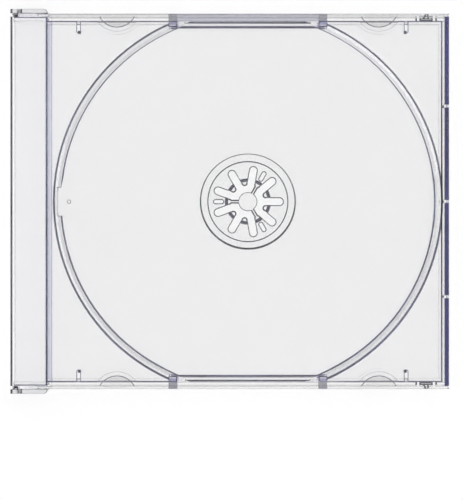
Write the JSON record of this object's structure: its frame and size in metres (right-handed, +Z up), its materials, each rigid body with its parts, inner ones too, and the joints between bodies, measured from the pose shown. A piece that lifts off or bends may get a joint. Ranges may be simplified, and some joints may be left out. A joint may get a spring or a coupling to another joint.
{
  "type": "cd case",
  "caption": "Clear hinged disc case: flat base, tray with a sloped round recess and sprung finger hub, and a lid with booklet tabs.",
  "frame": {"origin": "under the middle of the closed case, on the outer face of the base", "axes": "+X from the hinge column to the opening edge, +Y along the spine, +Z up through the lid"},
  "size_m": [0.1424, 0.125, 0.0104],
  "materials": {
    "base_clear": "clear polystyrene, polished",
    "tray_clear": "clear polystyrene, polished",
    "lid_clear": "clear polystyrene, polished"
  },
  "bodies": {
    "base": {"base": "base_clear", "tray": "tray_clear"},
    "lid": {"lid": "lid_clear"}
  },
  "joints": [
    {"name": "lid_hinge", "type": "hinge", "parent": "base", "child": "lid", "pos_m": [-0.0686, 0, 0.0052], "axis": [0, -1, 0], "range_deg": [0, 180]}
  ]
}
